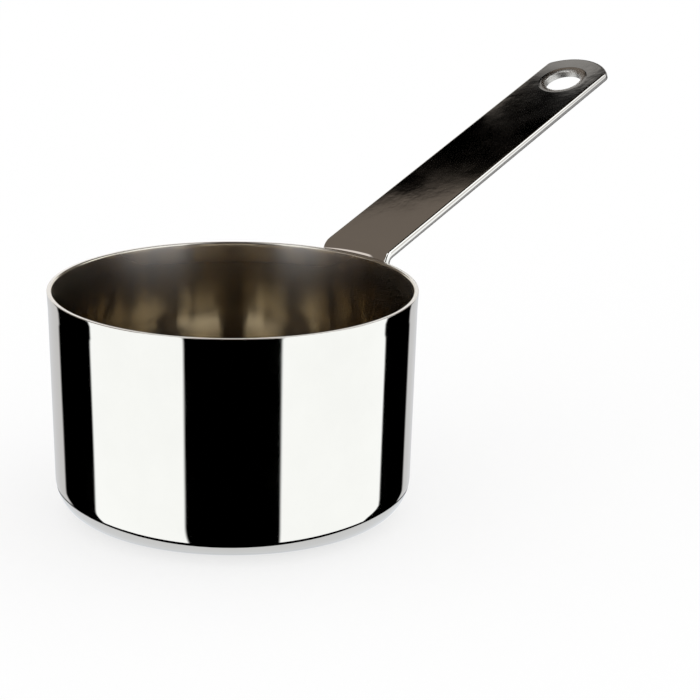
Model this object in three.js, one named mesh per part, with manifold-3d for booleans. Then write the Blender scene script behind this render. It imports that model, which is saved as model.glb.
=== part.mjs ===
// Serving pan: a cup drawn from sheet steel, with a bent strip handle spot welded behind the lip.
// Millimetres, +Z up. The origin is the centre of the base, on the surface that the pan stands on.
// The handle points along +X.

import * as THREE from 'three';
import { mergeVertices } from 'three/addons/utils/BufferGeometryUtils.js';
import Module from 'manifold-3d';

const { degToRad } = THREE.MathUtils;

// Cup
const RIM_RADIUS = 45; // outside, at the lip
const CUP_HEIGHT = 56;
const SHEET = 1.2; // thickness of the drawn sheet
const WALL_DRAFT = degToRad(1.85); // lean of the wall from upright
const BASE_CORNER = 9.5; // outside radius from base to wall
const LIP_ROUND = 0.45; // on both edges of the lip

// Handle
const STRIP = 2; // thickness of the strip
const FOOT_WIDTH = 21;
const END_WIDTH = 19.7; // where the rounding of the end begins
const FOOT_DEPTH = 24; // from the lip to the lower end of the foot
const FOOT_CORNER = 5;
const BEND_INSIDE = 1.5; // radius on the hollow side of the bend
const ARM_SLOPE = degToRad(20);
const ARM_RISE = 1.6; // from the lip up to the line of the arm's top face, at the rim radius
const ARM_REACH = 98; // from the rim radius to the end, along the slope
const END_BULGE = 4.6; // how far the middle of the end stands out past its corners
const END_CORNER = 2.5;

// Hanging hole, with both edges rolled off by buffing
const HOLE_RADIUS = 4.75;
const HOLE_FROM_END = 11.1;
const ROLL_WIDTH = 1.6;
const ROLL_DEPTH = 0.4;

// Spot welds between the foot and the wall
const WELD_RADIUS = 2.2;
const WELD_INSET = 5.2; // from the edges of the foot's straight part to the middle of a weld
const WELD_POCKET = 1.1; // how deep a weld goes into the strip
const SEAT_GAP = 0.3; // between pieces that sit on each other

// Fineness of the round stretches
const TURN_STEPS = 80;
const CORNER_STEPS = 7;
const ROUND_STEPS = 3;
const ACROSS_STEPS = 10;
const BEND_STEPS = 6;
const HOLE_STEPS = 32;
const WELD_STEPS = 16;

const wasm = await Module();
wasm.setup();

function toSolid(geometry) {
  const bare = geometry.clone();
  bare.deleteAttribute('normal');
  bare.deleteAttribute('uv');
  const merged = mergeVertices(bare);
  return new wasm.Manifold(new wasm.Mesh({
    numProp: 3,
    vertProperties: merged.attributes.position.array,
    triVerts: Uint32Array.from(merged.index.array),
  }));
}

function toGeometry(solid) {
  const { vertProperties, triVerts } = solid.getMesh();
  const geometry = new THREE.BufferGeometry();
  geometry.setAttribute('position', new THREE.BufferAttribute(vertProperties, 3));
  geometry.setIndex(new THREE.BufferAttribute(triVerts, 1));
  geometry.computeVertexNormals();
  return geometry;
}

// Points of an arc, both ends included, with angles measured from the first axis.
function arc(centreX, centreY, radius, from, to, steps) {
  return Array.from({ length: steps + 1 }, (_, step) => {
    const angle = from + (to - from) * step / steps;
    return new THREE.Vector2(centreX + radius * Math.cos(angle), centreY + radius * Math.sin(angle));
  });
}

// Outside of the leaning wall, at a height over the base.
function wallRadius(height) {
  return RIM_RADIUS - (CUP_HEIGHT - height) * Math.tan(WALL_DRAFT);
}

// A profile turned about the upright axis.
function turned(profile, steps) {
  return new THREE.LatheGeometry(profile, steps).rotateX(Math.PI / 2);
}

// The sheet runs at one thickness from the middle of the base, round the corner and up to the lip.
function cupGeometry() {
  const lip = Math.min(LIP_ROUND, SHEET / 2);
  const lipHeight = CUP_HEIGHT - lip;
  const innerLip = RIM_RADIUS - SHEET / Math.cos(WALL_DRAFT);
  const cornerCentre = wallRadius(BASE_CORNER) - BASE_CORNER / Math.cos(WALL_DRAFT);
  const down = -Math.PI / 2;
  const outerCorner = arc(cornerCentre, BASE_CORNER, BASE_CORNER, down, -WALL_DRAFT, CORNER_STEPS);
  const innerCorner = arc(cornerCentre, BASE_CORNER, BASE_CORNER - SHEET, -WALL_DRAFT, down, CORNER_STEPS);
  const outerLip = arc(RIM_RADIUS - lip, lipHeight, lip, -WALL_DRAFT, Math.PI / 2, ROUND_STEPS);
  const insideLip = arc(innerLip + lip, lipHeight, lip, Math.PI / 2, Math.PI - WALL_DRAFT, ROUND_STEPS);
  return turned([
    new THREE.Vector2(0, 0),
    ...outerCorner,
    ...outerLip,
    ...insideLip,
    ...innerCorner,
    new THREE.Vector2(0, SHEET),
  ], TURN_STEPS);
}

// Side view of the strip at its middle: the face that lies on the wall and then becomes the arm's top face.
const armAlong = new THREE.Vector2(Math.cos(ARM_SLOPE), Math.sin(ARM_SLOPE));
const armUnder = new THREE.Vector2(Math.sin(ARM_SLOPE), -Math.cos(ARM_SLOPE));
const armStart = new THREE.Vector2(RIM_RADIUS, CUP_HEIGHT + ARM_RISE);
const footUp = new THREE.Vector2(Math.sin(WALL_DRAFT), Math.cos(WALL_DRAFT));
const bendAngle = Math.PI / 2 - WALL_DRAFT - ARM_SLOPE;
const bendRadius = BEND_INSIDE + STRIP;

// The two faces would meet at this corner if the bend were sharp, and the bend begins and ends a run away.
const seatRadius = RIM_RADIUS + SEAT_GAP / Math.cos(WALL_DRAFT);
const cornerReach = (SEAT_GAP / Math.cos(WALL_DRAFT) + ARM_RISE * Math.tan(WALL_DRAFT))
  / (armAlong.x - armAlong.y * Math.tan(WALL_DRAFT));
const bendRun = bendRadius * Math.tan(bendAngle / 2);
const corner = armStart.clone().addScaledVector(armAlong, cornerReach);
const bendLow = corner.clone().addScaledVector(footUp, -bendRun);
const footLength = (bendLow.y - (CUP_HEIGHT - FOOT_DEPTH)) / footUp.y;

// Outline of the foot from its rounded lower end up: x is the distance over the end, y half the width.
function footOutline() {
  const round = Math.min(FOOT_CORNER, FOOT_WIDTH / 3);
  return arc(round, FOOT_WIDTH / 2 - round, round, Math.PI, Math.PI / 2, CORNER_STEPS);
}

// Outline of the arm's crowned end: x is the reach along the slope, y half the width.
function endOutline() {
  const half = END_WIDTH / 2;
  const crown = (half * half + END_BULGE * END_BULGE) / (2 * END_BULGE);
  const crownCentre = ARM_REACH - crown;
  const round = Math.min(END_CORNER, half / 2);
  const roundCentre = crownCentre + Math.sqrt((crown - round) ** 2 - (half - round) ** 2);
  const meeting = Math.atan2(half - round, roundCentre - crownCentre);
  const last = meeting / (2 * CORNER_STEPS);
  return [
    ...arc(roundCentre, half - round, round, Math.PI / 2, meeting, ROUND_STEPS),
    ...arc(crownCentre, 0, crown, meeting, last, CORNER_STEPS).slice(1),
  ];
}

// Stations along the strip: a point of the face in side view, the way through the strip, half the width,
// and whether the face follows the round wall there.
function stripStations() {
  const footUnder = new THREE.Vector2(footUp.y, -footUp.x);
  const foot = footOutline().map(({ x: over, y: half }) => ({
    point: bendLow.clone().addScaledVector(footUp, over - footLength),
    under: footUnder,
    half,
    onWall: true,
  }));
  const bendCentre = bendLow.clone().addScaledVector(footUnder, bendRadius);
  const bend = arc(0, 0, 1, Math.PI - WALL_DRAFT, Math.PI / 2 + ARM_SLOPE, BEND_STEPS).map((outward) => ({
    point: bendCentre.clone().addScaledVector(outward, bendRadius),
    under: outward.clone().negate(),
    half: FOOT_WIDTH / 2,
    onWall: true,
  }));
  const end = endOutline().map(({ x: reach, y: half }) => ({
    point: armStart.clone().addScaledVector(armAlong, reach),
    under: armUnder,
    half,
    onWall: false,
  }));
  return [...foot, ...bend, ...end];
}

// A closed sheet from rows of points on its two faces.
function sheetGeometry(rows) {
  const across = rows[0].length;
  const left = 0;
  const right = across - 1;
  const positions = rows.flat().flatMap(({ top, under }) => [...top.toArray(), ...under.toArray()]);
  const top = (row, column) => 2 * (row * across + column);
  const under = (row, column) => top(row, column) + 1;
  const last = rows.length - 1;
  const index = [];
  const quad = (a, b, c, d) => index.push(a, b, c, a, c, d);
  for (let row = 0; row < last; row += 1) {
    for (let column = left; column < right; column += 1) {
      quad(top(row, column), top(row + 1, column), top(row + 1, column + 1), top(row, column + 1));
      quad(under(row, column), under(row, column + 1), under(row + 1, column + 1), under(row + 1, column));
    }
    quad(under(row, left), under(row + 1, left), top(row + 1, left), top(row, left));
    quad(top(row, right), top(row + 1, right), under(row + 1, right), under(row, right));
  }
  for (let column = left; column < right; column += 1) {
    quad(top(0, column), top(0, column + 1), under(0, column + 1), under(0, column));
    quad(top(last, column + 1), top(last, column), under(last, column), under(last, column + 1));
  }
  const geometry = new THREE.BufferGeometry();
  geometry.setAttribute('position', new THREE.Float32BufferAttribute(positions, 3));
  geometry.setIndex(index);
  return geometry;
}

// The foot and the bend are drawn in along the arm, so the foot lies round the wall and the arm stays flat.
function stripGeometry() {
  const rows = stripStations().map(({ point, under, half, onWall }) => {
    return Array.from({ length: ACROSS_STEPS + 1 }, (_, step) => {
      const side = half * (2 * step / ACROSS_STEPS - 1);
      const sag = onWall ? seatRadius - Math.sqrt(seatRadius * seatRadius - side * side) : 0;
      const face = new THREE.Vector3(point.x - sag, side, point.y - sag * Math.tan(ARM_SLOPE));
      const through = new THREE.Vector3(under.x, 0, under.y).multiplyScalar(STRIP);
      return { top: face, under: face.clone().add(through) };
    });
  });
  return sheetGeometry(rows);
}

// What the hanging hole takes away, upright about the middle of the strip's thickness.
function holeCutter() {
  const half = STRIP / 2;
  const rollRadius = (ROLL_WIDTH ** 2 + ROLL_DEPTH ** 2) / (2 * ROLL_DEPTH);
  const rollAngle = Math.asin(ROLL_WIDTH / rollRadius);
  const outside = HOLE_RADIUS + ROLL_WIDTH;
  const up = Math.PI / 2;
  const topRoll = arc(outside, half - rollRadius, rollRadius, up + rollAngle, up, ROUND_STEPS);
  const underRoll = arc(outside, rollRadius - half, rollRadius, -up, -up - rollAngle, ROUND_STEPS);
  return turned([
    new THREE.Vector2(0, -STRIP),
    new THREE.Vector2(outside, -STRIP),
    ...underRoll,
    ...topRoll,
    new THREE.Vector2(outside, STRIP),
    new THREE.Vector2(0, STRIP),
  ], HOLE_STEPS);
}

// Puts the cutter's middle on the arm, square to it.
function holePlace() {
  const middle = armStart.clone()
    .addScaledVector(armAlong, ARM_REACH - HOLE_FROM_END)
    .addScaledVector(armUnder, STRIP / 2);
  return new THREE.Matrix4().makeRotationY(-ARM_SLOPE).setPosition(middle.x, 0, middle.y);
}

// Middle of a weld on the foot's seat, with its local Y axis pointing out through the strip.
function weldPlace(side, over) {
  const seat = bendLow.clone().addScaledVector(footUp, over - footLength);
  const turn = Math.asin(side / seatRadius);
  const outward = new THREE.Vector3(
    Math.cos(turn) * Math.cos(WALL_DRAFT),
    Math.sin(turn) * Math.cos(WALL_DRAFT),
    -Math.sin(WALL_DRAFT),
  );
  const sag = seatRadius * (1 - Math.cos(turn));
  const place = new THREE.Object3D();
  place.position.set(seat.x - sag, side, seat.y);
  place.quaternion.setFromUnitVectors(new THREE.Vector3(0, 1, 0), outward);
  return place;
}

// A short round plug that starts on the seat and goes into the strip.
function weldGeometry(radius, from, to) {
  return new THREE.CylinderGeometry(radius, radius, to - from, WELD_STEPS).translate(0, (from + to) / 2, 0);
}

const weldSides = { right: -1, left: 1 };
const weldRows = { lower: WELD_INSET, upper: footLength - WELD_INSET };
const weldSpread = FOOT_WIDTH / 2 - WELD_INSET;
const welds = Object.entries(weldRows).flatMap(([row, over]) => {
  return Object.entries(weldSides).map(([side, sign]) => ({
    name: `spot_weld_${row}_${side}`,
    place: weldPlace(sign * weldSpread, over),
  }));
});

// The strip with its hanging hole and a pocket for each weld.
function handleGeometry() {
  const cutters = [toSolid(holeCutter().applyMatrix4(holePlace()))];
  welds.forEach(({ place }) => {
    place.updateMatrix();
    const pocket = weldGeometry(WELD_RADIUS + SEAT_GAP, -SEAT_GAP / 2, WELD_POCKET);
    cutters.push(toSolid(pocket.applyMatrix4(place.matrix)));
  });
  return toGeometry(cutters.reduce((solid, cutter) => solid.subtract(cutter), toSolid(stripGeometry())));
}

const polishedSteel = new THREE.MeshStandardMaterial({ color: 0xbdb8b0, roughness: 0.08, metalness: 1 });
const buffedSteel = new THREE.MeshStandardMaterial({ color: 0xb4aea5, roughness: 0.18, metalness: 1 });
const weldSteel = new THREE.MeshStandardMaterial({ color: 0x8f8a84, roughness: 0.5, metalness: 1 });

function piece(name, geometry, material) {
  const mesh = new THREE.Mesh(geometry, material);
  mesh.name = name;
  return mesh;
}

const pan = new THREE.Group();
pan.add(piece('pan_body', cupGeometry(), polishedSteel));
pan.add(piece('handle', handleGeometry(), buffedSteel));
welds.forEach(({ name, place }) => {
  const nugget = piece(name, weldGeometry(WELD_RADIUS, 0, WELD_POCKET - SEAT_GAP), weldSteel);
  nugget.position.copy(place.position);
  nugget.quaternion.copy(place.quaternion);
  pan.add(nugget);
});

export default pan;
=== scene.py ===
"""Serving pan: a turned steel cup, a bent strip handle with its spot welds, and the studio around them."""

from collections import namedtuple
from math import asin, atan2, cos, hypot, pi, radians, sin, sqrt, tan

import bmesh
import bpy
from bpy.props import FloatProperty, FloatVectorProperty, IntProperty, PointerProperty
from mathutils import Matrix, Vector


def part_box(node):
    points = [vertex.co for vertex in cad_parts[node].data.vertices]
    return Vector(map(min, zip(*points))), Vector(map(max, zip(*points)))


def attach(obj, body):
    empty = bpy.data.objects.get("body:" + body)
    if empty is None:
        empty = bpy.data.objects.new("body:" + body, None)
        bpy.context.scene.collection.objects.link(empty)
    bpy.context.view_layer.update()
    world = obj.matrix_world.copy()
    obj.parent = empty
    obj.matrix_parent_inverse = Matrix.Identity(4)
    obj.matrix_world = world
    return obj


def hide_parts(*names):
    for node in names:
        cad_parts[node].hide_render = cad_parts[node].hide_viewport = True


bl_info = {
    "name": "Serving pan",
    "version": (1, 0, 0),
    "blender": (4, 5, 0),
    "location": "3D View > Sidebar > Serving pan",
    "description": "Makes a steel serving pan with a strip handle, and the studio around it",
    "category": "Object",
}

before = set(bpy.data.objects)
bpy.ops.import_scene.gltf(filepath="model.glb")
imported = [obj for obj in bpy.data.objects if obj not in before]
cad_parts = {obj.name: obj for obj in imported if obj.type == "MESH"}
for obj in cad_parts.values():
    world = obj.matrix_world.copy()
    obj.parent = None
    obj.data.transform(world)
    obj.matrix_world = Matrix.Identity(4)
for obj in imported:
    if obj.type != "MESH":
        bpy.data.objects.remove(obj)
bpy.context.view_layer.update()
CUP_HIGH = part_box("pan_body")[1]
HANDLE_LOW, HANDLE_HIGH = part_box("handle")
WELDS = sorted(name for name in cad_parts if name.startswith("spot_weld"))
MM = 0.001


def length(name, description, default):
    """A size in metres."""
    return FloatProperty(
        name=name, description=description, default=default, min=0.0, precision=5,
        subtype="DISTANCE", unit="LENGTH",
    )


def angle(name, description, default):
    """An angle, given in degrees and kept in radians."""
    return FloatProperty(
        name=name, description=description, default=radians(default), subtype="ANGLE", unit="ROTATION",
    )


def colour(name, description, default):
    """A linear colour."""
    return FloatVectorProperty(
        name=name, description=description, default=default, size=3, min=0.0, max=1.0, subtype="COLOR",
    )


def lamp(name, description, default):
    """A linear colour of light, which may be brighter than white."""
    return FloatVectorProperty(
        name=name, description=description, default=default, size=3, min=0.0, subtype="COLOR",
    )


def share(name, description, default):
    """A number from nothing to one."""
    return FloatProperty(
        name=name, description=description, default=default, min=0.0, max=1.0, subtype="FACTOR",
    )


class CupSizes(bpy.types.PropertyGroup):
    """Sizes of the drawn cup."""

    rim_radius: length("Rim radius", "Outside radius at the lip", CUP_HIGH.y)
    height: length("Height", "From the base to the lip", CUP_HIGH.z)
    sheet: length("Sheet", "Thickness of the drawn sheet", 1.2 * MM)
    draft: angle("Draft", "Lean of the wall from upright", 1.85)
    base_corner: length("Base corner", "Outside radius from the base to the wall", 9.5 * MM)
    lip_outside: length("Lip outside", "Radius on the outer edge of the lip", 0.15 * MM)
    lip_inside: length("Lip inside", "Radius on the inner edge of the lip", 0.4 * MM)
    flare: length("Flare", "How far the lip stands out past the line of the wall", 0.15 * MM)
    flare_height: length("Flare height", "How far below the lip the flare begins", 4.5 * MM)
    turn_steps: IntProperty(name="Turn steps", description="Sides of the turned cup", default=224, min=12)


class StripSizes(bpy.types.PropertyGroup):
    """Sizes of the bent strip handle."""

    thickness: length("Thickness", "Thickness of the strip", 2.0 * MM)
    foot_width: length("Foot width", "Width on the wall", HANDLE_HIGH.y - HANDLE_LOW.y)
    end_width: length("End width", "Width where the rounding of the end begins", 19.7 * MM)
    foot_depth: length("Foot depth", "From the lip to the lower end of the foot", 24.0 * MM)
    foot_corner: length("Foot corner", "Radius on the lower corners of the foot", 5.0 * MM)
    seat_gap: length("Seat gap", "Between the wall and the foot", 0.3 * MM)
    bend_inside: length("Bend inside", "Radius on the hollow side of the bend", 1.5 * MM)
    arm_slope: angle("Arm slope", "Rise of the arm from level", 20.0)
    arm_rise: length("Arm rise", "From the lip up to the arm's top face, at the rim radius", 1.6 * MM)
    arm_reach: length("Arm reach", "From the rim radius to the end, along the slope", 98.0 * MM)
    end_bulge: length("End bulge", "How far the end's middle stands out past its corners", 4.6 * MM)
    end_corner: length("End corner", "Radius on the corners of the end", 2.5 * MM)
    upper_round: length("Upper round", "Radius on the upper edges", 0.75 * MM)
    lower_round: length("Lower round", "Radius on the lower edges", 0.5 * MM)
    torn_depth: length("Torn depth", "From the upper face to the edges' torn part, on the foot", 1.12 * MM)
    torn_climb: length("Torn climb", "How far the torn part climbs towards the end", 0.29 * MM)
    hole_radius: length("Hole radius", "Radius of the hanging hole", 4.75 * MM)
    hole_from_end: length("Hole from end", "From the end to the middle of the hole", 11.1 * MM)
    roll_width: length("Roll width", "Width of the hole's rolled upper edge", 1.7 * MM)
    roll_depth: length("Roll depth", "How deep the hole's upper edge is rolled off", 0.35 * MM)
    hole_under: length("Hole under", "Radius on the hole's lower edge", 0.2 * MM)
    weld_inset: length("Weld inset", "From the foot's edges to the middle of a weld", 5.2 * MM)
    dimple_radius: length("Dimple radius", "Radius of the mark that a weld leaves on the foot", 2.6 * MM)
    dimple_depth: length("Dimple depth", "Depth of the mark that a weld leaves on the foot", 0.12 * MM)


class SteelFinish(bpy.types.PropertyGroup):
    """Colours and polish of the steel."""

    polished: colour("Polished", "Steel of the cup's mirror-polished outside", (0.70, 0.665, 0.615))
    # The inside is darker and warmer than the same steel outside: painted warm shade in the cup's hollow
    satin_and_shade: colour("Satin", "Steel of the cup's inside", (0.595, 0.542, 0.451))
    scratched: colour("Scratched", "Steel of the scratches inside the cup", (0.62, 0.575, 0.545))
    buffed: colour("Buffed", "Steel of the buffed handle", (0.69, 0.655, 0.61))
    # Darker than steel: dull torn steel, with painted shade on the edges' lower part, round the end and in
    # the punched hole
    torn_and_shade: colour("Torn", "Steel of the torn part of the strip's sheared edges", (0.26, 0.24, 0.225))
    weld: colour("Weld", "Fused steel of the welds", (0.50, 0.47, 0.44))
    mirror: share("Mirror roughness", "Roughness of the cup's outside", 0.035)
    inside: share("Inside roughness", "Roughness of the cup's inside", 0.05)
    grain: share("Inside grain", "How far the turned lines inside stretch a highlight up and down", 0.9)
    scatter: share("Scatter", "Roughness of the turned scratches inside", 0.36)
    worn_low: share("Worn low", "How much of the cup's inside is scratched, low down", 0.03)
    worn_high: share("Worn high", "How much of the cup's inside is scratched, by the lip", 0.48)
    worn_turn: angle("Worn turn", "Where the inside is scratched most, from the handle anticlockwise", 41.25)
    print_depth: share("Print depth", "How deep the welds' prints inside are, next to the wall's waves", 0.6)
    lip: share("Lip roughness", "How much rougher the brushed lip is", 0.12)
    buff: share("Buffed roughness", "Roughness of the handle's broad faces", 0.03)
    sheared: share("Sheared roughness", "How much rougher the strip's torn and punched edges are", 0.4)


class StudioSettings(bpy.types.PropertyGroup):
    """Camera, floor and light."""

    view_turn: angle("View turn", "How far the view is turned from +Y, clockwise from above", 48.75)
    view_fall: angle("View fall", "How far the view looks down", 16.1555)
    view_roll: angle("View roll", "Tilt of the picture", 0.484)
    view_distance: length("View distance", "From the camera to the point that it looks at", 0.996)
    view_aim: FloatVectorProperty(
        name="View aim", description="The point that the camera looks at",
        default=(0.01875, -0.02138, 0.04067), subtype="TRANSLATION", unit="LENGTH",
    )
    lens: FloatProperty(name="Lens", description="Focal length", default=210.95, unit="CAMERA")
    floor_size: length("Floor size", "Width of the round floor", 6.0)
    floor: colour("Floor", "Colour of the floor", (0.35, 0.35, 0.35))
    soft_box: lamp("Soft box", "Light of the soft boxes on both sides", (1.34, 1.42, 1.48))
    tall_box: lamp("Tall box", "Light of the upper part of the soft boxes", (1.68, 1.78, 1.85))
    backdrop: lamp("Backdrop", "Light of the low backdrop", (0.71, 0.725, 0.75))
    far_wall: lamp("Far wall", "Light of the dim wall far behind the pan", (0.190, 0.164, 0.141))
    far_flat: share("Far flat", "Light of the pale flat far behind the pan", 0.33)
    board_width: length("Board width", "Half the width of the board that the base edge mirrors", 47.0 * MM)
    board_depth: length("Board depth", "Half the depth of that board", 41.4 * MM)
    # The board's dark line and dim middle are painted shadow round the base, as the steel mirrors it
    board_edge: length("Board edge", "Width of the dark line round that board", 1.5 * MM)
    board: colour("Board", "Light of that board", (0.80, 0.84, 0.89))
    board_full: length("Board full", "Radius from which that board has its full light", 39.0 * MM)
    board_dim: length("Board dim", "Radius within which that board is dimmest", 34.0 * MM)
    board_middle: share("Board middle", "Light of that board's middle, next to its full light", 0.7)


class PanSettings(bpy.types.PropertyGroup):
    """All sizes and finishes of the pan."""

    cup: PointerProperty(type=CupSizes)
    strip: PointerProperty(type=StripSizes)
    steel: PointerProperty(type=SteelFinish)
    studio: PointerProperty(type=StudioSettings)


class Nodes:
    """Adds nodes to a tree, and links or sets their sockets."""

    def __init__(self, tree):
        self.tree = tree

    def feed(self, socket, value):
        """Links a socket to another one, or sets its value."""
        if isinstance(value, bpy.types.NodeSocket):
            self.tree.links.new(value, socket)
        else:
            socket.default_value = value

    def add(self, kind, inputs=None, **settings):
        """A new node with its settings and inputs."""
        node = self.tree.nodes.new(kind)
        for name, value in settings.items():
            setattr(node, name, value)
        for name, value in (inputs or {}).items():
            self.feed(node.inputs[name], value)
        return node

    def math(self, operation, *values):
        """The result of an operation on numbers or sockets."""
        node = self.add("ShaderNodeMath", operation=operation)
        for socket, value in zip(node.inputs, values):
            self.feed(socket, value)
        return node.outputs[0]

    def plus(self, first, second):
        """The sum of two values."""
        return self.math("ADD", first, second)

    def less(self, first, second):
        """The first value without the second."""
        return self.math("SUBTRACT", first, second)

    def times(self, first, second):
        """The product of two values."""
        return self.math("MULTIPLY", first, second)

    def vector(self, x=0.0, y=0.0, z=0.0):
        """A vector from its parts."""
        return self.add("ShaderNodeCombineXYZ", {"X": x, "Y": y, "Z": z}).outputs[0]

    def parts(self, vector):
        """The three parts of a vector."""
        return self.add("ShaderNodeSeparateXYZ", {"Vector": vector}).outputs

    def ramp(self, value, low, high, start=0.0, end=1.0, smooth=True):
        """Goes from start to end while the value goes from low to high."""
        node = self.add(
            "ShaderNodeMapRange",
            {"Value": value, "From Min": low, "From Max": high, "To Min": start, "To Max": end},
            interpolation_type="SMOOTHSTEP" if smooth else "LINEAR",
        )
        return node.outputs["Result"]

    def band(self, value, low, high, soft):
        """One between two values, with soft edges."""
        rise = self.ramp(value, low - soft, low + soft)
        fall = self.ramp(value, high - soft, high + soft, 1.0, 0.0)
        return self.times(rise, fall)

    def noise(self, vector, scale, detail=2.0, roughness=0.5):
        """Soft random values, about a half on average."""
        node = self.add(
            "ShaderNodeTexNoise",
            {"Vector": vector, "Scale": scale, "Detail": detail, "Roughness": roughness},
        )
        return node.outputs[0]

    def blend(self, factor, first, second):
        """A colour between two colours."""
        node = self.add("ShaderNodeMix", data_type="RGBA")
        self.feed(node.inputs["Factor"], factor)
        self.feed(node.inputs[6], first)
        self.feed(node.inputs[7], second)
        return node.outputs[2]


def shade(colour_value, factor):
    """The same colour, darker or lighter, with an alpha."""
    return [min(1.0, channel * factor) for channel in colour_value] + [1.0]


TINT_DARK = 0.95
TINT_PALE = 1.03


def steel(name, colour_value, build):
    """A metal whose tint, roughness, bump and depth of bump come from build."""
    material = bpy.data.materials.new(name)
    material.use_nodes = True
    nodes = Nodes(material.node_tree)
    shader = material.node_tree.nodes["Principled BSDF"]
    shader.inputs["Metallic"].default_value = 1.0
    place = nodes.add("ShaderNodeTexCoord").outputs["Object"]
    tint, roughness, height, depth = build(nodes, place)
    tinted = nodes.blend(tint, shade(colour_value, TINT_DARK), shade(colour_value, TINT_PALE))
    nodes.feed(shader.inputs["Base Color"], tinted)
    nodes.feed(shader.inputs["Roughness"], roughness)
    bump = nodes.add("ShaderNodeBump", {"Strength": 1.0, "Distance": depth, "Height": height})
    nodes.feed(shader.inputs["Normal"], bump.outputs["Normal"])
    return material


def turning_lines(nodes, place, along, across):
    """Fine lines that run round the axis: rings on the base and hoops on the wall."""
    x, y, z = nodes.parts(place)
    radius = nodes.math("SQRT", nodes.plus(nodes.times(x, x), nodes.times(y, y)))
    run = nodes.plus(radius, z)
    stretched = nodes.vector(nodes.times(x, along), nodes.times(y, along), nodes.times(run, across))
    return nodes.noise(stretched, scale=1.0, detail=3.0)


BRUSHED_FROM = CUP_HIGH.z - 0.3 * MM
BRUSHED_ABOVE = CUP_HIGH.z - 0.05 * MM


def lip_wear(nodes, place, roughness, more):
    """Adds the cut lip's brushed finish to a roughness."""
    height = nodes.parts(place)[2]
    brushed = nodes.ramp(height, BRUSHED_FROM, BRUSHED_ABOVE, 0.0, more)
    return nodes.plus(roughness, brushed)


OUTSIDE_BUMP = 0.02 * MM
OUTSIDE_HOOPS = 0.006
INSIDE_BUMP = 0.012 * MM
INSIDE_HOOPS = 0.03
STRIP_BUMP = 0.006 * MM
WELD_BUMP = 0.08 * MM


def polished_steel(finish):
    """Mirror polish with faint hoops from the wheel and slow smudges."""
    def build(nodes, place):
        smudge = nodes.noise(place, scale=60.0, detail=4.0, roughness=0.6)
        hoops = turning_lines(nodes, place, along=18.0, across=2600.0)
        roughness = nodes.ramp(
            smudge, low=0.3, high=0.75, start=0.6 * finish.mirror, end=1.6 * finish.mirror,
        )
        wobble = nodes.noise(place, scale=38.0, detail=1.0)
        height = nodes.plus(nodes.times(hoops, OUTSIDE_HOOPS), wobble)
        return smudge, lip_wear(nodes, place, roughness, finish.lip), height, OUTSIDE_BUMP

    return steel("mirror_polished_steel", finish.polished, build)


PRINT_REACH = 2.2 * MM
PRINT_SOFT = 0.8 * MM


def weld_prints(nodes, place):
    """One on the spots of the inside that the welds have marked."""
    prints = 0.0
    for name in WELDS:
        low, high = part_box(name)
        gap = nodes.add("ShaderNodeVectorMath", {0: place, 1: (low + high) / 2}, operation="DISTANCE")
        spot = nodes.ramp(gap.outputs["Value"], PRINT_REACH, PRINT_REACH + PRINT_SOFT, 1.0, 0.0)
        prints = nodes.math("MAXIMUM", prints, spot)
    return prints


WORN_SIDE_FROM = 0.58 * CUP_HIGH.y
WORN_SIDE_FULL = 0.9 * CUP_HIGH.y
WORN_ELSEWHERE = 0.1
WORN_ABOVE = 0.4 * CUP_HIGH.z
WORN_FADE = 5.0
QUARTER_TURN = 0.25


def worn_share(nodes, finish):
    """How much of the cup's inside the scratches take up: most by the lip, on the worn side."""
    x, y, height = nodes.parts(nodes.add("ShaderNodeTexCoord").outputs["Object"])
    across = nodes.plus(nodes.times(x, cos(finish.worn_turn)), nodes.times(y, sin(finish.worn_turn)))
    worn_side = nodes.ramp(across, WORN_SIDE_FROM, WORN_SIDE_FULL, WORN_ELSEWHERE, 1.0)
    near_lip = nodes.math("POWER", nodes.ramp(height, WORN_ABOVE, CUP_HIGH.z, smooth=False), WORN_FADE)
    worn = nodes.times(near_lip, worn_side)
    return nodes.ramp(worn, 0.0, 1.0, finish.worn_low, finish.worn_high, smooth=False)


def satin_steel_and_shade(finish):
    """Inside of the cup: a turned polish with the welds' prints, and rougher scratches over it.

    The turned lines of both spread light up and down. The polish's darker, warmer colour is painted shade.
    """
    def build(nodes, place):
        cloud = nodes.noise(place, scale=45.0, detail=4.0, roughness=0.6)
        hoops = turning_lines(nodes, place, along=14.0, across=3200.0)
        roughness = nodes.ramp(
            cloud, low=0.25, high=0.8, start=0.8 * finish.inside, end=1.2 * finish.inside,
        )
        wobble = nodes.noise(place, scale=26.0)
        height = nodes.plus(nodes.times(hoops, INSIDE_HOOPS), wobble)
        dents = nodes.times(weld_prints(nodes, place), finish.print_depth)
        return cloud, roughness, nodes.less(height, dents), INSIDE_BUMP

    material = steel("satin_turned_steel_and_shade", finish.satin_and_shade, build)
    nodes = Nodes(material.node_tree)
    clear = material.node_tree.nodes["Principled BSDF"]
    grain = {
        "Anisotropic": finish.grain,
        "Anisotropic Rotation": QUARTER_TURN,
        "Tangent": nodes.add("ShaderNodeTangent", direction_type="RADIAL", axis="Z").outputs[0],
    }
    for name, value in grain.items():
        nodes.feed(clear.inputs[name], value)
    scratched = nodes.add("ShaderNodeBsdfPrincipled", {
        "Base Color": shade(finish.scratched, 1.0),
        "Metallic": 1.0,
        "Roughness": finish.scatter,
        "Normal": clear.inputs["Normal"].links[0].from_socket,
        **grain,
    })
    both = nodes.add("ShaderNodeMixShader", {"Fac": worn_share(nodes, finish)})
    nodes.feed(both.inputs[1], clear.outputs[0])
    nodes.feed(both.inputs[2], scratched.outputs[0])
    nodes.feed(material.node_tree.nodes["Material Output"].inputs["Surface"], both.outputs[0])
    return material


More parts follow.
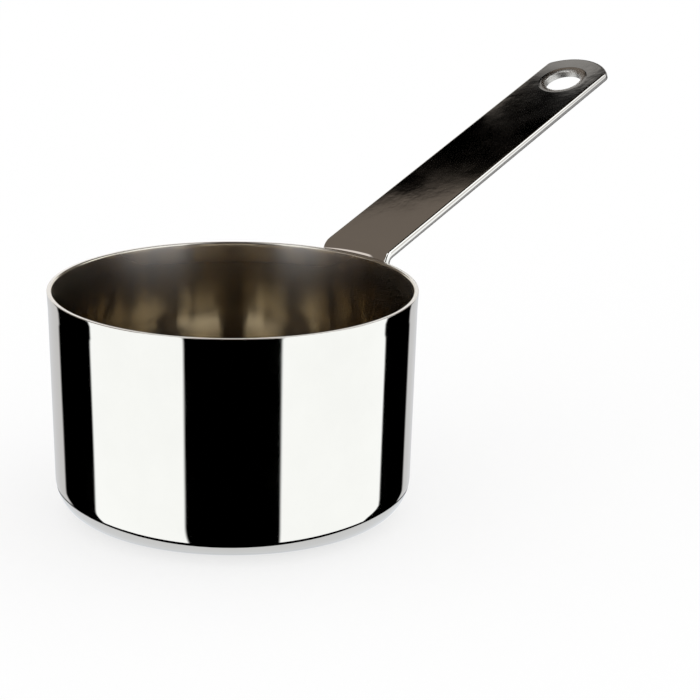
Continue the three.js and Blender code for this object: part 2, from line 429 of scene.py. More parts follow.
def buffed_steel(finish):
    """Buffed strip with slow smudges, rough where it was punched and torn, and dark there: torn steel and
    painted shade.
    """
    def build(nodes, place):
        cloud = nodes.noise(place, scale=70.0, detail=4.0, roughness=0.6)
        worn = nodes.add("ShaderNodeAttribute", attribute_name="worn").outputs["Fac"]
        smooth = nodes.ramp(cloud, low=0.3, high=0.75, start=0.7 * finish.buff, end=1.4 * finish.buff)
        roughness = nodes.plus(smooth, nodes.times(worn, finish.sheared))
        return cloud, roughness, cloud, STRIP_BUMP

    material = steel("buffed_strip_steel", finish.buffed, build)
    nodes = Nodes(material.node_tree)
    colour_in = material.node_tree.nodes["Principled BSDF"].inputs["Base Color"]
    # The torn and punched parts are darkened: dull torn steel with painted shade
    torn_and_shade = nodes.add("ShaderNodeAttribute", attribute_name="torn_and_shade").outputs["Fac"]
    nodes.feed(colour_in, nodes.blend(torn_and_shade, colour_in.links[0].from_socket, shade(finish.torn_and_shade, 1.0)))
    return material


def weld_steel(finish):
    """Dull, pitted steel that was molten once."""
    def build(nodes, place):
        pits = nodes.noise(place, scale=1500.0, detail=4.0, roughness=0.65)
        heat = nodes.noise(place, scale=300.0)
        return heat, nodes.ramp(pits, low=0.3, high=0.7, start=0.4, end=0.65), pits, WELD_BUMP

    return steel("fused_weld_steel", finish.weld, build)


def new_object(name, mesh):
    """Puts a mesh into the scene, at the origin."""
    made = bpy.data.objects.new(name, mesh)
    bpy.context.scene.collection.objects.link(made)
    return made


def switch(nodes, kind, index, values):
    """Picks one of the values by index."""
    node = nodes.add("GeometryNodeIndexSwitch", data_type=kind)
    while len(node.index_switch_items) < len(values):
        node.index_switch_items.new()
    nodes.feed(node.inputs["Index"], index)
    for socket, value in zip(node.inputs[1:], values):
        nodes.feed(socket, value)
    return node.outputs[0]


CUP_MEASURES = (
    "Rim Radius", "Height", "Sheet", "Draft", "Base Corner", "Lip Outside", "Lip Inside", "Flare",
    "Flare Height",
)
CUP_INPUTS = {
    **dict.fromkeys(CUP_MEASURES, "NodeSocketFloat"),
    "Turn Steps": "NodeSocketInt",
    "Outside Steel": "NodeSocketMaterial",
    "Inside Steel": "NodeSocketMaterial",
}
OUTSIDE_CORNERS = 4
LONGEST_STEP = 1.4 * MM
MERGE_DISTANCE = 0.002 * MM
FLARE_BEND = 30.0 * MM
CORNER_STEPS = 22
FLARE_STEPS = 5
LIP_STEPS = 7


def cup_profile(nodes, sizes):
    """Half of the cup's section, from the middle of the base out, up, over the lip and back inside."""
    lean = nodes.math("TANGENT", sizes["Draft"])
    level_sheet = nodes.math("DIVIDE", sizes["Sheet"], nodes.math("COSINE", sizes["Draft"]))
    wall_at_lip = nodes.less(sizes["Rim Radius"], sizes["Flare"])
    wall_at_base = nodes.less(wall_at_lip, nodes.times(sizes["Height"], lean))
    wall_at_flare = nodes.less(wall_at_lip, nodes.times(sizes["Flare Height"], lean))
    flare_start = nodes.less(sizes["Height"], sizes["Flare Height"])
    inside_at_base = nodes.plus(nodes.less(wall_at_base, level_sheet), nodes.times(sizes["Sheet"], lean))
    corners = [
        (0.0, 0.0),
        (wall_at_base, 0.0),
        (wall_at_flare, flare_start),
        (sizes["Rim Radius"], sizes["Height"]),
        (nodes.less(sizes["Rim Radius"], level_sheet), sizes["Height"]),
        (nodes.less(wall_at_flare, level_sheet), flare_start),
        (inside_at_base, sizes["Sheet"]),
        (0.0, sizes["Sheet"]),
    ]
    inner_corner = nodes.less(sizes["Base Corner"], sizes["Sheet"])
    rounds = [
        0.0, sizes["Base Corner"], FLARE_BEND, sizes["Lip Outside"],
        sizes["Lip Inside"], FLARE_BEND, inner_corner, 0.0,
    ]
    steps = [1, CORNER_STEPS, FLARE_STEPS, LIP_STEPS, LIP_STEPS, FLARE_STEPS, CORNER_STEPS, 1]
    index = nodes.add("GeometryNodeInputIndex").outputs[0]
    places = [nodes.vector(out, nodes.times(up, -1.0)) for out, up in corners]
    points = nodes.add("GeometryNodePoints", {
        "Count": len(corners),
        "Position": switch(nodes, "VECTOR", index, places),
    })
    line = nodes.add("GeometryNodePointsToCurves", {"Points": points.outputs[0], "Weight": index})
    straight = nodes.add("GeometryNodeCurveSplineType", {"Curve": line.outputs[0]}, spline_type="POLY")
    inside = nodes.add("GeometryNodeCaptureAttribute", {"Geometry": straight.outputs[0]})
    inside.capture_items.new("FLOAT", "Inside")
    nodes.feed(inside.inputs["Inside"], nodes.math("GREATER_THAN", index, OUTSIDE_CORNERS - 0.5))
    rounded = nodes.add("GeometryNodeFilletCurve", {
        "Curve": inside.outputs["Geometry"],
        "Count": switch(nodes, "INT", index, steps),
        "Radius": switch(nodes, "FLOAT", index, rounds),
        "Limit Radius": True,
    }, mode="POLY")
    return rounded.outputs[0], inside.outputs["Inside"]


def short_steps(nodes, curve):
    """Cuts the straight stretches of a curve into short steps, so that the polish has clean normals."""
    place = nodes.add("GeometryNodeInputPosition").outputs[0]
    index = nodes.add("GeometryNodeInputIndex").outputs[0]
    after = nodes.add("GeometryNodeFieldAtIndex", data_type="FLOAT_VECTOR", domain="POINT")
    nodes.feed(after.inputs["Value"], place)
    nodes.feed(after.inputs["Index"], nodes.plus(index, 1.0))
    gap = nodes.add("ShaderNodeVectorMath", operation="DISTANCE")
    nodes.feed(gap.inputs[0], place)
    nodes.feed(gap.inputs[1], after.outputs[0])
    cuts = nodes.math("FLOOR", nodes.math("DIVIDE", gap.outputs["Value"], LONGEST_STEP))
    return nodes.add("GeometryNodeSubdivideCurve", {"Curve": curve, "Cuts": cuts}).outputs[0]


def cup_tree():
    """Turns the cup's section about the upright axis."""
    tree = bpy.data.node_groups.new("Turned cup", "GeometryNodeTree")
    for name, kind in CUP_INPUTS.items():
        tree.interface.new_socket(name, in_out="INPUT", socket_type=kind)
    tree.interface.new_socket("Cup", in_out="OUTPUT", socket_type="NodeSocketGeometry")
    nodes = Nodes(tree)
    sizes = nodes.add("NodeGroupInput").outputs
    section, inside = cup_profile(nodes, sizes)
    to_path = nodes.vector(nodes.times(sizes["Rim Radius"], -1.0))
    shifted = nodes.add("GeometryNodeSetPosition", {
        "Geometry": short_steps(nodes, section),
        "Offset": to_path,
    })
    path = nodes.add("GeometryNodeCurvePrimitiveCircle", {
        "Resolution": sizes["Turn Steps"],
        "Radius": sizes["Rim Radius"],
    })
    turned = nodes.add("GeometryNodeCurveToMesh", {
        "Curve": path.outputs["Curve"],
        "Profile Curve": shifted.outputs[0],
    })
    closed = nodes.add("GeometryNodeMergeByDistance", {
        "Geometry": turned.outputs[0],
        "Distance": MERGE_DISTANCE,
    })
    outward = nodes.add("GeometryNodeFlipFaces", {"Mesh": closed.outputs[0]})
    smooth = nodes.add("GeometryNodeSetShadeSmooth", {"Geometry": outward.outputs[0]})
    whole = nodes.add("GeometryNodeRealizeInstances", {"Geometry": smooth.outputs[0]})
    outside_steel = nodes.add("GeometryNodeSetMaterial", {
        "Geometry": whole.outputs[0],
        "Material": sizes["Outside Steel"],
    })
    inside_steel = nodes.add("GeometryNodeSetMaterial", {
        "Geometry": outside_steel.outputs[0],
        "Selection": nodes.math("GREATER_THAN", inside, 0.5),
        "Material": sizes["Inside Steel"],
    })
    result = nodes.add("NodeGroupOutput")
    nodes.feed(result.inputs[0], inside_steel.outputs[0])
    return tree


def set_inputs(modifier, values):
    """Sets a node modifier's inputs, by the identifiers of the sockets that have these names."""
    for item in modifier.node_group.interface.items_tree:
        if item.name in values:
            modifier[item.identifier] = values[item.name]


def plain_mesh(made):
    """Replaces an object's modifiers by their result."""
    graph = bpy.context.evaluated_depsgraph_get()
    mesh = bpy.data.meshes.new_from_object(
        made.evaluated_get(graph), preserve_all_data_layers=True, depsgraph=graph,
    )
    made.modifiers.clear()
    made.data = mesh
    return mesh


class PAN_OT_make_cup(bpy.types.Operator):
    """Turn the drawn cup and give it its polish"""

    bl_idname = "serving_pan.make_cup"
    bl_label = "Make the cup"

    def execute(self, context):
        settings = context.scene.serving_pan
        sizes = settings.cup
        cup = new_object("polished_cup", bpy.data.meshes.new("polished_cup"))
        turning = cup.modifiers.new("Turned cup", "NODES")
        turning.node_group = cup_tree()
        set_inputs(turning, {
            **{name: getattr(sizes, name.lower().replace(" ", "_")) for name in CUP_MEASURES},
            "Turn Steps": sizes.turn_steps,
            "Outside Steel": polished_steel(settings.steel),
            "Inside Steel": satin_steel_and_shade(settings.steel),
        })
        mesh = plain_mesh(cup)
        if not mesh.polygons:
            raise RuntimeError("The cup came out empty")
        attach(cup, "root")
        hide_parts("pan_body")
        return {"FINISHED"}


SETTLE_RUN = 25.0 * MM


def eased(value):
    """A value from nothing to one, with a smooth start and end."""
    held = min(max(value, 0.0), 1.0)
    return held * held * (3.0 - 2.0 * held)


class StripPath:
    """Where the strip's points lie: run goes along it from the foot's lower end, depth through it."""

    def __init__(self, strip, cup):
        lean = cup.draft
        slope = strip.arm_slope
        self.along = Vector((cos(slope), sin(slope)))
        self.up_wall = Vector((sin(lean), cos(lean)))
        self.through_foot = Vector((cos(lean), -sin(lean)))
        self.through_arm = Vector((sin(slope), -cos(slope)))
        self.bend_radius = strip.bend_inside + strip.thickness
        self.bend_angle = pi / 2 - lean - slope
        self.lean = lean
        self.slope = slope
        gap = strip.seat_gap / cos(lean)
        self.seat_radius = cup.rim_radius + gap
        start = Vector((cup.rim_radius, cup.height + strip.arm_rise))
        corner_reach = (gap + strip.arm_rise * tan(lean)) / (cos(slope) - sin(slope) * tan(lean))
        bend_run = self.bend_radius * tan(self.bend_angle / 2)
        corner = start + corner_reach * self.along
        self.bend_low = corner - bend_run * self.up_wall
        self.bend_high = corner + bend_run * self.along
        self.foot_length = (self.bend_low.y - (cup.height - strip.foot_depth)) / cos(lean)
        self.bend_length = self.bend_radius * self.bend_angle
        self.arm_run = self.foot_length + self.bend_length
        self.reach_of_arm = corner_reach + bend_run

    def run_at(self, reach):
        """The run of a place on the arm, from its reach past the rim."""
        return self.arm_run + reach - self.reach_of_arm

    def place(self, run, side, depth):
        """A point of the strip. The foot's curve round the wall fades out along the arm."""
        if run < self.foot_length:
            point = self.bend_low + (run - self.foot_length) * self.up_wall
            through = self.through_foot
        elif run < self.arm_run:
            turn = pi - self.lean - (run - self.foot_length) / self.bend_radius
            outward = Vector((cos(turn), sin(turn)))
            centre = self.bend_low + self.bend_radius * self.through_foot
            point = centre + self.bend_radius * outward
            through = -outward
        else:
            point = self.bend_high + (run - self.arm_run) * self.along
            through = self.through_arm
        held = eased(1.0 - (run - self.arm_run) / SETTLE_RUN)
        sag = held * (self.seat_radius - sqrt(self.seat_radius ** 2 - side ** 2))
        point = point + depth * through
        return Vector((point.x - sag, side, point.y - sag * tan(self.slope)))


ACROSS_STEPS = 44
FOOT_STEPS = 40
BEND_STEPS = 16
ARM_STEPS = 12
END_SIDE_STEPS = 8
EDGE_STEPS = 6
ROLL_STEPS = 6
HOLE_RINGS = 12
FOOT_CORNER_STEPS = 10
END_CORNER_STEPS = 8
# Between an edge and the line of points that keeps it crisp
SUPPORT = 0.06 * MM
# The strip's end begins so many times the rolled edge's radius before the hole's middle.
END_BEFORE_HOLE = 1.9
# How much of the upper edge gets the torn colour with its painted shade, near the end and round its corners
TORN_AND_SHADE_NEAR_END = 0.3
TORN_AND_SHADE_ROUND_END = 2.0
HOLE_EDGE = 0.15 * MM
# Share of the torn colour in the punched hole: painted shade in the hole
PUNCHED_SHADE = 0.4


def spread(start, end, steps):
    """Even steps from start to end, both included."""
    return [start + (end - start) * step / steps for step in range(steps + 1)]


def loop_round(rows, end):
    """The outer loop of a face that has rows across the strip and an end."""
    left = [row[-1] for row in rows[1:]]
    right = [row[0] for row in reversed(rows[1:])]
    return rows[0] + left + end + right


class StripPlan:
    """Outline of the strip laid flat, as (run, side)."""

    def __init__(self, strip, path):
        self.strip = strip
        self.path = path
        self.half_foot = strip.foot_width / 2
        self.half_end = strip.end_width / 2
        self.crown = (self.half_end ** 2 + strip.end_bulge ** 2) / (2 * strip.end_bulge)
        self.crown_middle = path.run_at(strip.arm_reach) - self.crown
        corner = strip.end_corner
        self.corner_side = self.half_end - corner
        self.corner_run = self.crown_middle + sqrt((self.crown - corner) ** 2 - self.corner_side ** 2)
        self.hole_run = path.run_at(strip.arm_reach - strip.hole_from_end)
        self.end_start = self.hole_run - END_BEFORE_HOLE * (strip.hole_radius + strip.roll_width)

    def half_width(self, run):
        """Half of the width between the foot's corners and the end's corners."""
        done = (run - self.path.arm_run) / (self.corner_run - self.path.arm_run)
        return self.half_foot + (self.half_end - self.half_foot) * max(0.0, done)

    def side_line(self, inset):
        """The left side from the foot's lower corner to the start of the end, drawn in by an inset."""
        path = self.path
        corner = self.strip.foot_corner
        reach = corner - inset
        line = []
        for turn in spread(pi, pi / 2, FOOT_CORNER_STEPS):
            line.append((corner + reach * cos(turn), self.half_foot - corner + reach * sin(turn)))
        runs = spread(corner, path.foot_length, FOOT_STEPS)[1:]
        runs += spread(path.foot_length, path.arm_run, BEND_STEPS)[1:]
        runs += spread(path.arm_run, self.end_start, ARM_STEPS)[1:]
        return line + [(run, self.half_width(run) - inset) for run in runs]

    def end_line(self, inset):
        """The outline past the start of the end, from the left side round the crown to the right side."""
        runs = spread(self.end_start, self.corner_run, END_SIDE_STEPS)[1:]
        line = [(run, self.half_width(run) - inset) for run in runs]
        meeting = atan2(self.corner_side, self.corner_run - self.crown_middle)
        reach = self.strip.end_corner - inset
        for turn in spread(pi / 2, meeting, END_CORNER_STEPS)[1:]:
            line.append((self.corner_run + reach * cos(turn), self.corner_side + reach * sin(turn)))
        reach = self.crown - inset
        for turn in spread(meeting, 0.0, ACROSS_STEPS // 2)[1:]:
            line.append((self.crown_middle + reach * cos(turn), reach * sin(turn)))
        return line + [(run, -side) for run, side in reversed(line[:-1])]

    def rows(self, inset):
        """Rows across the strip, from right to left, from the foot's lower end to the start of the end."""
        return [
            [(run, side) for side in spread(-half, half, ACROSS_STEPS)]
            for run, half in self.side_line(inset)
        ]

    def edge_steps(self):
        """The edge from one face to the other, without its ends on the faces, as (inset, depth)."""
        strip = self.strip
        turns = spread(0.0, pi / 2, EDGE_STEPS)
        upper = [(strip.upper_round * (1 - sin(turn)), strip.upper_round * (1 - cos(turn))) for turn in turns]
        lower = [
            (strip.lower_round * (1 - sin(turn)), strip.thickness - strip.lower_round * (1 - cos(turn)))
            for turn in reversed(turns)
        ]
        middle = [(0.0, strip.torn_depth - SUPPORT), (0.0, strip.torn_depth + SUPPORT)]
        return upper + middle + lower

    def edge_depth(self, run, depth):
        """A depth on the edge, with the line where the shears began to tear climbing along the arm."""
        if abs(depth - self.strip.torn_depth) > 2 * SUPPORT:
            return depth
        done = (run - self.path.arm_run) / (self.end_start - self.path.arm_run)
        return depth - self.strip.torn_climb * min(max(done, 0.0), 1.0)

    def torn_and_shade(self, run, depth):
        """How dark an edge is, as torn steel with painted shade: all of it low down and round the end, a
        little near the end.
        """
        if depth > self.strip.torn_depth:
            return 1.0
        nearing = max(0.0, (run - self.end_start) / (self.corner_run - self.end_start))
        past = max(0.0, (run - self.corner_run) / self.strip.end_corner)
        return min(1.0, TORN_AND_SHADE_NEAR_END * nearing + TORN_AND_SHADE_ROUND_END * past)

    def hole_steps(self):
        """The hole's rolled upper edge, wall and rounded lower edge, as (radius, depth)."""
        strip = self.strip
        roll = (strip.roll_width ** 2 + strip.roll_depth ** 2) / (2 * strip.roll_depth)
        outside = strip.hole_radius + strip.roll_width
        turns = spread(0.0, asin(strip.roll_width / roll), ROLL_STEPS)
        upper = [(outside - roll * sin(turn), roll * (1 - cos(turn))) for turn in turns]
        # The roll ends just short of the wall, so that their edge stays crisp.
        upper[-1] = (upper[-1][0] + HOLE_EDGE / 2, upper[-1][1] - HOLE_EDGE / 5)
        upper.append((strip.hole_radius, upper[-1][1] + HOLE_EDGE))
        under = strip.hole_under
        lower = [
            (strip.hole_radius + under * (1 - sin(turn)), strip.thickness - under * (1 - cos(turn)))
            for turn in spread(pi / 2, 0.0, ROLL_STEPS)
        ]
        return upper + lower

    def hole_point(self, radius, turn):
        """A place round the hole."""
        return (self.hole_run + radius * cos(turn), radius * sin(turn))


class StripMesh:
    """Builds the closed skin of the strip."""

    def __init__(self, strip, path):
        self.strip = strip
        self.path = path
        self.plan = StripPlan(strip, path)
        self.skin = bmesh.new()
        self.worn = self.skin.verts.layers.float.new("worn")
        # How dark each point is, as torn steel with painted shade
        self.torn_and_shade = self.skin.verts.layers.float.new("torn_and_shade")

    def mark(self, run, side):
        """Depth of the mark that a weld leaves on the outside of the foot."""
        strip = self.strip
        across = abs(side) - (strip.foot_width / 2 - strip.weld_inset)
        rows = (strip.weld_inset, self.path.foot_length - strip.weld_inset)
        apart = min(hypot(run - row, across) for row in rows)
        return strip.dimple_depth * eased(1.0 - apart / strip.dimple_radius)

    def point(self, run, side, depth):
        """A point of the skin."""
        return self.skin.verts.new(self.path.place(run, side, depth))

    def points(self, places, depth, under=False):
        """A line of points at one depth, with the welds' marks on the underside."""
        return [
            self.point(run, side, depth - (self.mark(run, side) if under else 0.0))
            for run, side in places
        ]

    def quads(self, lines, closed=True):
        """Faces between each line of points and the next."""
        for first, second in zip(lines, lines[1:]):
            count = len(first)
            for at in range(count if closed else count - 1):
                after = (at + 1) % count
                self.skin.faces.new((first[at], first[after], second[after], second[at]))

    def face(self, depth, under):
        """One broad face. Gives its outer loop, the loop round its hole and that loop's turns."""
        plan = self.plan
        inset = SUPPORT + (self.strip.lower_round if under else self.strip.upper_round)
        places = plan.rows(inset)
        grid = [self.points(row, depth, under) for row in places]
        self.quads(grid, closed=False)
        end_places = plan.end_line(inset)
        end = self.points(end_places, depth)
        around = places[-1] + end_places
        turns = [atan2(side, run - plan.hole_run) for run, side in around]
        rings = [grid[-1] + end]
        radius = self.strip.hole_radius + self.strip.roll_width + SUPPORT
        for done in spread(0.0, 1.0, HOLE_RINGS)[1:]:
            ring = []
            for (run, side), turn in zip(around, turns):
                near = plan.hole_point(radius, turn)
                ring.append((run + (near[0] - run) * done, side + (near[1] - side) * done))
            rings.append(self.points(ring, depth))
        self.quads(rings)
        return loop_round(grid, end), rings[-1], turns

    def build(self, name):
        """The whole strip as a mesh."""
        plan = self.plan
        top_outer, top_hole, turns = self.face(0.0, False)
        under_outer, under_hole, _ = self.face(self.strip.thickness, True)
        edges = [top_outer]
        for inset, depth in plan.edge_steps():
            places = loop_round(plan.rows(inset), plan.end_line(inset))
            edges.append([self.point(run, side, plan.edge_depth(run, depth)) for run, side in places])
            for point, (run, _) in zip(edges[-1], places):
                point[self.worn] = point[self.torn_and_shade] = plan.torn_and_shade(run, depth)
        self.quads(edges + [under_outer])
        walls = [top_hole]
        for radius, depth in plan.hole_steps():
            walls.append(self.points([plan.hole_point(radius, turn) for turn in turns], depth))
            for point in walls[-1]:
                point[self.worn] = 1.0 - (radius - self.strip.hole_radius) / self.strip.roll_width
                point[self.torn_and_shade] = PUNCHED_SHADE * point[self.worn]
        self.quads(walls + [under_hole])
        bmesh.ops.recalc_face_normals(self.skin, faces=self.skin.faces)
        if not all(edge.is_manifold for edge in self.skin.edges):
            raise RuntimeError("The strip's skin isn't closed")
        mesh = bpy.data.meshes.new(name)
        self.skin.to_mesh(mesh)
        self.skin.free()
        mesh.shade_smooth()
        return mesh


class PAN_OT_make_handle(bpy.types.Operator):
    """Bend the strip handle and give it its buffed finish"""

    bl_idname = "serving_pan.make_handle"
    bl_label = "Make the handle"

    def execute(self, context):
        settings = context.scene.serving_pan
        path = StripPath(settings.strip, settings.cup)
        mesh = StripMesh(settings.strip, path).build("strip_handle")
        mesh.materials.append(buffed_steel(settings.steel))
        handle = new_object("strip_handle", mesh)
        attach(handle, "root")
        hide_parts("handle")
        return {"FINISHED"}


class PAN_OT_finish_welds(bpy.types.Operator):
    """Give the spot welds their dull fused steel"""

    bl_idname = "serving_pan.finish_welds"
    bl_label = "Finish the spot welds"

    def execute(self, context):
        material = weld_steel(context.scene.serving_pan.steel)
        if not WELDS:
            raise RuntimeError("The frame has no spot welds")
        for name in WELDS:
            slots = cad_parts[name].material_slots
            if not slots:
                raise RuntimeError(f"{name} has no place for a material")
            for slot in slots:
                slot.material = material
        return {"FINISHED"}


DISC_SIDES = 96
FLOOR_LEVEL = -0.3 * MM
EDGE_LEVEL = -0.2 * MM
BOARD_LEVEL = -0.1 * MM
MIRROR_BOUNCES = 24


def flat_disc(name, width, depth, height, turn=0.0):
    """A level oval, given by half of its width and half of its depth."""
    flat = bmesh.new()
    rim = [(width * cos(at), depth * sin(at)) for at in spread(0.0, 2 * pi, DISC_SIDES)[:-1]]
    flat.faces.new([flat.verts.new((x, y, height)) for x, y in rim])
    flat.transform(Matrix.Rotation(-turn, 4, "Z"))
    mesh = bpy.data.meshes.new(name)
    flat.to_mesh(mesh)
    flat.free()
    return new_object(name, mesh)


def empty_material(name):
    """A material without a shader, and its nodes."""
    material = bpy.data.materials.new(name)
    material.use_nodes = True
    material.node_tree.nodes.clear()
    return material, Nodes(material.node_tree)


def board_light(name, light, studio):
    """Light of the board or of its edge, dimmer in the middle as a painted contact shadow."""
    material, nodes = empty_material(name)
    place = nodes.add("ShaderNodeTexCoord").outputs["Object"]
    radius = nodes.add("ShaderNodeVectorMath", {0: place}, operation="LENGTH").outputs["Value"]
    level = nodes.ramp(radius, studio.board_dim, studio.board_full, studio.board_middle, 1.0)
    glow = nodes.add("ShaderNodeEmission", {"Color": shade(light, 1.0), "Strength": level})
    nodes.add("ShaderNodeOutputMaterial", {"Surface": glow.outputs[0]})
    return material


def floor_material(studio):
    """Pale floor that is topped up to white for the camera and keeps the shadow."""
    material, nodes = empty_material("pale_floor")
    paint = nodes.add("ShaderNodeBsdfDiffuse", {"Color": shade(studio.floor, 1.0)})
    seen = nodes.add("ShaderNodeLightPath").outputs["Is Camera Ray"]
    lack = [1.0 - channel for channel in studio.floor] + [1.0]
    lift = nodes.add("ShaderNodeEmission", {"Color": lack, "Strength": seen})
    both = nodes.add("ShaderNodeAddShader")
    nodes.feed(both.inputs[0], paint.outputs[0])
    nodes.feed(both.inputs[1], lift.outputs[0])
    nodes.add("ShaderNodeOutputMaterial", {"Surface": both.outputs[0]})
    return material


# What the steel mirrors. Turns go from the camera to its right and heights go up from level. Both are in
# degrees, like the softness of the edges and the roll about the middle.
Card = namedtuple("Card", "turns heights light soft roll", defaults=(0.0,))
BLACK = [0.0, 0.0, 0.0]
DARK_ROOM = [0.045, 0.033, 0.024]
DIM_FLAT = [0.20, 0.185, 0.17]
DIM_BACK = [0.26, 0.24, 0.22]
PALE_BACK = [1.1, 1.1, 1.1]
LOW_GLOW = [1.0, 0.95, 0.93]
BORDER_GLOW = [0.86, 0.87, 0.87]
BORDER_DIM = [0.13, 0.12, 0.11]


def card_cover(nodes, card, turn, height):
    """One where a card is seen, with soft edges. A rolled card is turned about its middle."""
    middle = [sum(card.turns) / 2, sum(card.heights) / 2]
    half = [(card.turns[1] - card.turns[0]) / 2, (card.heights[1] - card.heights[0]) / 2]
    across = nodes.less(turn, middle[0])
    upright = nodes.less(height, middle[1])
    if card.roll:
        part = cos(radians(card.roll))
        rest = sin(radians(card.roll))
        rolled = nodes.plus(nodes.times(across, part), nodes.times(upright, rest))
        upright = nodes.less(nodes.times(upright, part), nodes.times(across, rest))
        across = rolled
    return nodes.times(
        nodes.band(across, -half[0], half[0], card.soft),
        nodes.band(upright, -half[1], half[1], card.soft),
    )


def studio_cards(studio):
    """The studio round the pan. Each card hides what lies behind it on those before."""
    soft = list(studio.soft_box)
    tall = list(studio.tall_box)
    wall = list(studio.far_wall)
    return [
        # The dark room, and the low parts of the soft boxes on both sides
        Card((-20.0, 380.0), (0.0, 100.0), DARK_ROOM, 2.0),
        Card((32.4, 112.4), (-100.0, 6.0), soft, 1.2),
        Card((261.2, 330.8), (-100.0, 6.0), soft, 1.2),
        # Behind the pan: a dim wall, the backdrop, and a pale strip for the lip
        Card((112.0, 261.0), (0.0, 37.0), DIM_BACK, 2.0),
        Card((147.5, 222.0), (-100.0, -3.0), list(studio.backdrop), 2.0),
        Card((147.5, 222.0), (-3.0, 20.5), PALE_BACK, 1.2),
        # The upper parts of the soft boxes, for the inside
        Card((32.4, 118.0), (6.0, 80.0), tall, 2.0),
        Card((242.0, 330.8), (6.0, 80.0), tall, 2.0),
        # The handle's bend, and the bright line behind the lip
        Card((226.0, 300.0), (4.0, 57.0), wall, 1.0),
        Card((268.0, 306.0), (0.0, 15.0), LOW_GLOW, 2.0),
        # The dark middle of the inside and of the arm
        Card((118.0, 200.0), (36.0, 60.0), DIM_FLAT, 1.0),
        Card((147.0, 200.0), (22.0, 61.0), DARK_ROOM, 1.2),
        Card((182.0, 226.0), (39.0, 66.0), BLACK, 1.0),
        # The arm's root
        Card((193.9, 233.9), (36.35, 60.35), wall, 0.13, -16.8),
        # The strip's right border
        Card((78.0, 95.0), (4.0, 44.0), BORDER_GLOW, 5.0),
        # The arm's end: its left border, its face and its right border
        Card((192.8, 194.1), (31.11, 40.89), BORDER_DIM, 0.04, 5.8),
        Card((181.9, 193.9), (26.8, 46.8), [studio.far_flat] * 3, 0.25, 46.0),
        Card((187.0, 192.4), (41.07, 58.93), BLACK, 0.05, 6.7),
    ]


# The lowest that the cup's wall mirrors
WALL_MIRRORS = radians(-20.0)


def studio_world(studio):
    """White to the camera, an even soft light on the floor, and the studio's cards in the steel.

    Lower than the cup's wall mirrors, the sides of the cards near the camera lean in, so that they run
    straight down the rounded base.
    """
    world = bpy.data.worlds.new("Studio")
    world.use_nodes = True
    world.cycles.sampling_method = "NONE"
    tree = world.node_tree
    tree.nodes.clear()
    nodes = Nodes(tree)
    ray = nodes.add("ShaderNodeTexCoord").outputs["Generated"]
    turned = nodes.add(
        "ShaderNodeVectorRotate", {"Vector": ray, "Angle": studio.view_turn}, rotation_type="Z_AXIS",
    )
    right, away, up = nodes.parts(turned.outputs[0])
    level = nodes.math("SQRT", nodes.less(1.0, nodes.times(up, up)))
    below = nodes.math("LESS_THAN", up, 0.0)
    near_side = nodes.ramp(away, low=0.2, high=0.7, start=1.0, end=0.0)
    lean_most = nodes.times(nodes.times(below, near_side), cos(WALL_MIRRORS))
    lean = nodes.math("MAXIMUM", level, lean_most)
    half_turn = nodes.math("ARCTAN2", right, nodes.less(lean, away))
    whole_turn = nodes.math("DEGREES", nodes.times(half_turn, 2.0))
    full_turn = nodes.math("WRAP", whole_turn, 360.0, 0.0)
    height = nodes.math("DEGREES", nodes.math("ARCSINE", up))
    seen = BLACK + [1.0]
    for card in studio_cards(studio):
        seen = nodes.blend(card_cover(nodes, card, full_turn, height), seen, card.light + [1.0])
    glossy = nodes.add("ShaderNodeLightPath").outputs["Is Glossy Ray"]
    sky = nodes.blend(glossy, (1.0, 1.0, 1.0, 1.0), seen)
    light = nodes.add("ShaderNodeBackground", {"Color": sky})
    nodes.add("ShaderNodeOutputWorld", {"Surface": light.outputs[0]})
    return world


def add_camera(studio):
    """A long lens that looks down at the pan from the front."""
    data = bpy.data.cameras.new("View")
    data.lens = studio.lens
    camera = bpy.data.objects.new("View", data)
    turn = Matrix.Rotation(-studio.view_turn, 4, "Z") @ Matrix.Rotation(pi / 2 - studio.view_fall, 4, "X")
    back = turn @ Vector((0.0, 0.0, studio.view_distance))
    camera.matrix_world = (
        Matrix.Translation(Vector(studio.view_aim) + back) @ turn @ Matrix.Rotation(studio.view_roll, 4, "Z")
    )
    bpy.context.scene.collection.objects.link(camera)
    bpy.context.scene.camera = camera


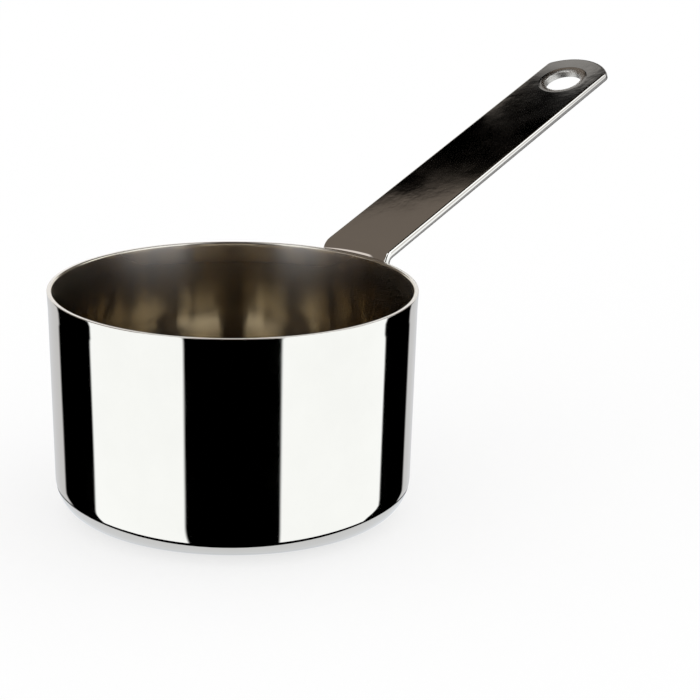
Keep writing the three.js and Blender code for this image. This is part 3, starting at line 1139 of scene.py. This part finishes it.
class PAN_OT_set_stage(bpy.types.Operator):
    """Set the floor, the light and the camera"""

    bl_idname = "serving_pan.set_stage"
    bl_label = "Set the stage"

    def execute(self, context):
        scene = context.scene
        studio = scene.serving_pan.studio
        floor = flat_disc("floor", studio.floor_size / 2, studio.floor_size / 2, FLOOR_LEVEL)
        floor.data.materials.append(floor_material(studio))
        floor.visible_glossy = False
        width = studio.board_width
        depth = studio.board_depth
        board = flat_disc("mirrored_board", width, depth, BOARD_LEVEL, studio.view_turn)
        board.data.materials.append(board_light("pale_board", studio.board, studio))
        # The black ring round the board is a painted shadow line round the base, seen only in the steel
        width += studio.board_edge
        depth += studio.board_edge
        edge = flat_disc("mirrored_board_edge", width, depth, EDGE_LEVEL, studio.view_turn)
        edge.data.materials.append(board_light("painted_shadow_edge", BLACK, studio))
        for mirrored in (board, edge):
            mirrored.visible_camera = False
            mirrored.visible_diffuse = False
            mirrored.visible_shadow = False
        scene.world = studio_world(studio)
        scene.view_settings.view_transform = "Standard"
        scene.cycles.max_bounces = MIRROR_BOUNCES
        scene.cycles.glossy_bounces = MIRROR_BOUNCES
        add_camera(studio)
        return {"FINISHED"}


class PAN_PT_panel(bpy.types.Panel):
    """Lists the steps that make the pan"""

    bl_idname = "PAN_PT_panel"
    bl_label = "Serving pan"
    bl_space_type = "VIEW_3D"
    bl_region_type = "UI"
    bl_category = "Serving pan"

    def draw(self, context):
        for step in STEPS:
            self.layout.operator(step.bl_idname)


STEPS = (PAN_OT_make_cup, PAN_OT_make_handle, PAN_OT_finish_welds, PAN_OT_set_stage)
GROUPS = (CupSizes, StripSizes, SteelFinish, StudioSettings, PanSettings)
CLASSES = GROUPS + STEPS + (PAN_PT_panel,)


def register():
    """Adds the classes and the scene's settings."""
    for made in CLASSES:
        bpy.utils.register_class(made)
    bpy.types.Scene.serving_pan = PointerProperty(type=PanSettings)


def unregister():
    """Takes the settings and the classes away again."""
    del bpy.types.Scene.serving_pan
    for made in reversed(CLASSES):
        bpy.utils.unregister_class(made)


def main():
    """Makes the pan and its stage."""
    register()
    bpy.ops.serving_pan.make_cup()
    bpy.ops.serving_pan.make_handle()
    bpy.ops.serving_pan.finish_welds()
    bpy.ops.serving_pan.set_stage()


if __name__ == "__main__":
    main()
